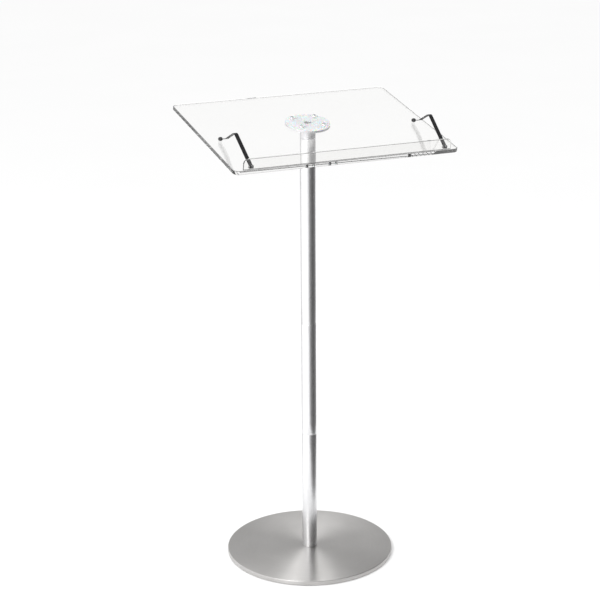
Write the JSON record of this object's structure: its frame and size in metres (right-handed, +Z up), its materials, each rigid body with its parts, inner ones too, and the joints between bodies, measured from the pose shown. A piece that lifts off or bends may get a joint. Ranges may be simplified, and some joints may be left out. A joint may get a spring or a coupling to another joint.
{
  "type": "lectern stand",
  "caption": "Free-standing lectern: round steel base, screwed steel pole, clear sloping acrylic tray with front lip and sprung page clips.",
  "frame": {"origin": "centre of the base pad where it meets the floor, on the pole axis", "axes": "+Z up along the pole; +Y from the reader towards the audience, so the tray rises along +Y; +X to the reader's right"},
  "size_m": [0.6, 0.4889, 1.2336],
  "materials": {
    "pad_foam": "matt closed-cell foam floor pad",
    "base_steel": "satin brushed steel plate, rims broken",
    "pole_steel": "satin steel tube, fine lengthways polish",
    "head_aluminium": "satin cast aluminium",
    "zinc_hardware": "bright zinc plate",
    "screw_steel": "turned stainless button heads",
    "gasket_silicone": "milky translucent silicone sheet",
    "white_nylon": "natural nylon",
    "clear_acrylic": "clear cast acrylic, polished edges",
    "clip_black": "satin black powder coat on spring steel",
    "spring_wire": "oiled spring wire",
    "tip_rubber": "soft black rubber"
  },
  "bodies": {
    "stand": {"base_pad": "pad_foam", "base_disc": "base_steel", "base_stud": "zinc_hardware", "lower_tube": "pole_steel", "foot_insert": "zinc_hardware", "lower_top_insert": "zinc_hardware", "joint_stud_lower": "zinc_hardware", "middle_tube": "pole_steel", "middle_bottom_insert": "zinc_hardware", "middle_top_insert": "zinc_hardware", "joint_stud_upper": "zinc_hardware", "upper_tube": "pole_steel", "upper_bottom_insert": "zinc_hardware", "upper_top_insert": "zinc_hardware", "tray_head": "head_aluminium", "head_washer": "zinc_hardware", "head_bolt": "zinc_hardware", "tray_gasket": "gasket_silicone", "tray_panel": "clear_acrylic", "tray_washers": "white_nylon", "tray_screws": "screw_steel", "front_lip": "clear_acrylic", "clip_saddle_left": "clip_black", "clip_pin_left": "zinc_hardware", "clip_saddle_right": "clip_black", "clip_pin_right": "zinc_hardware"},
    "clip_left": {"clip_strip_left": "clip_black", "clip_tip_left": "tip_rubber", "clip_spring_left": "spring_wire"},
    "clip_right": {"clip_strip_right": "clip_black", "clip_tip_right": "tip_rubber", "clip_spring_right": "spring_wire"}
  },
  "joints": [
    {"name": "clip_left_lift", "type": "hinge", "parent": "stand", "child": "clip_left", "pos_m": [-0.253, -0.24788, 1.16062], "axis": [0.9976, 0.0687, 0.0121], "range_deg": [0, 70], "stiffness_Nm_per_rad": 0.12, "springref_deg": -34.38},
    {"name": "clip_right_lift", "type": "hinge", "parent": "stand", "child": "clip_right", "pos_m": [0.265, -0.24788, 1.16062], "axis": [1, 0, 0], "range_deg": [0, 70], "stiffness_Nm_per_rad": 0.12, "springref_deg": -34.38}
  ]
}
